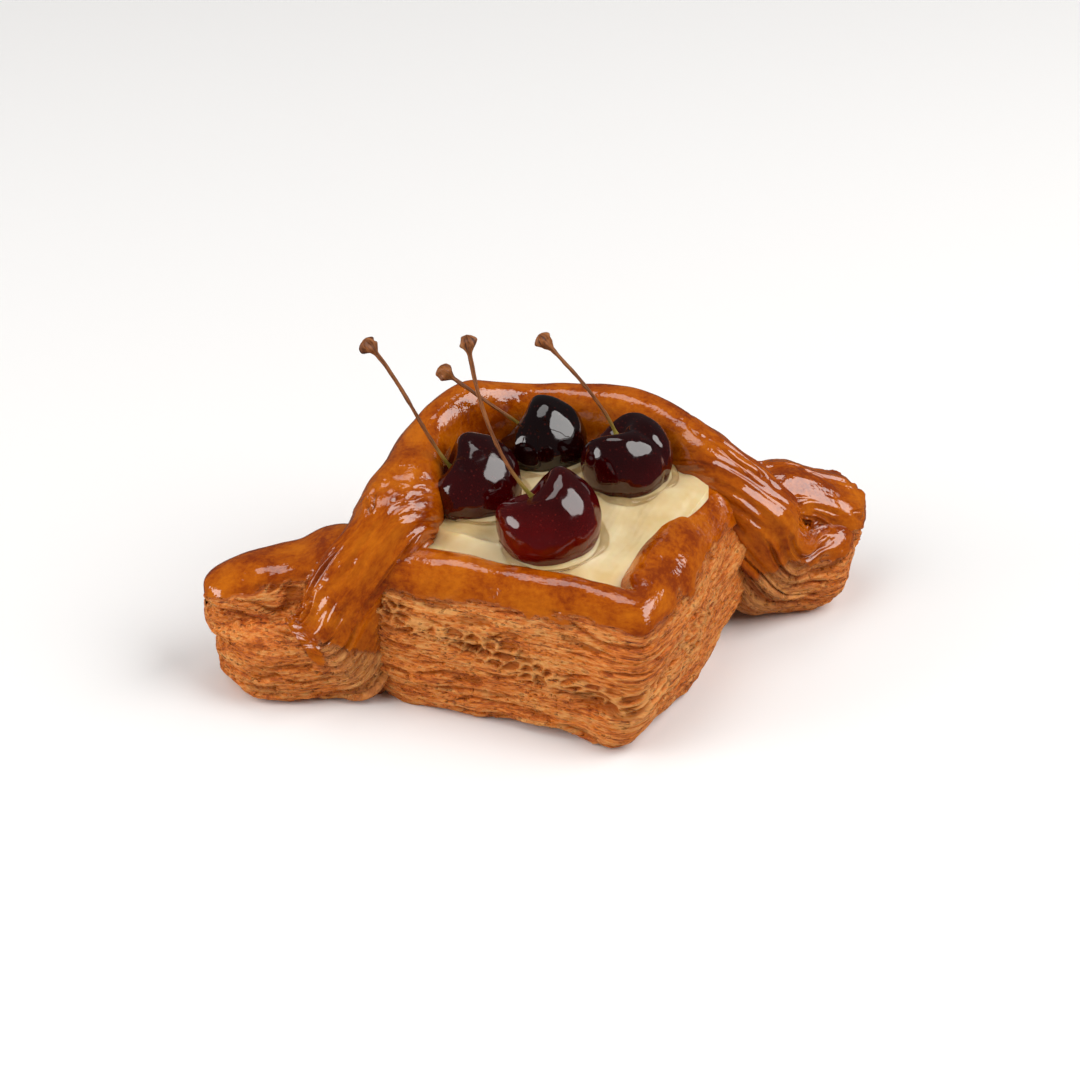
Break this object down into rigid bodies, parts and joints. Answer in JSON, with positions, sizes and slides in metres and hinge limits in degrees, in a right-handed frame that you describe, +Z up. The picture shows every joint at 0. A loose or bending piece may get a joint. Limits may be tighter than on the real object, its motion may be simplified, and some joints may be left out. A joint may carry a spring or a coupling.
{
  "type": "danish pastry",
  "caption": "Boat-shaped danish pastry of laminated dough with crossed borders, filled with custard and topped with fresh cherries on their stems.",
  "frame": {"origin": "On the flat underside, below the middle of the filling.", "axes": "+X from the left ear to the right ear, along the longest extent; -Y towards the sharp front corner; +Z up."},
  "size_m": [0.1514, 0.0868, 0.0786],
  "materials": {
    "baked_dough": "glazed golden-brown crust on top, laminated paler sides",
    "custard": "soft satin custard",
    "cherry_skin": "glossy dark red skin",
    "cherry_stalk": "dry brown stalk, greener at the fruit"
  },
  "bodies": {
    "root": {"pastry": "baked_dough", "cream": "custard", "cherry_front": "cherry_skin", "cherry_left": "cherry_skin", "cherry_back": "cherry_skin", "cherry_right": "cherry_skin", "stem_front": "cherry_stalk", "stem_left": "cherry_stalk", "stem_back": "cherry_stalk", "stem_right": "cherry_stalk"}
  },
  "joints": []
}
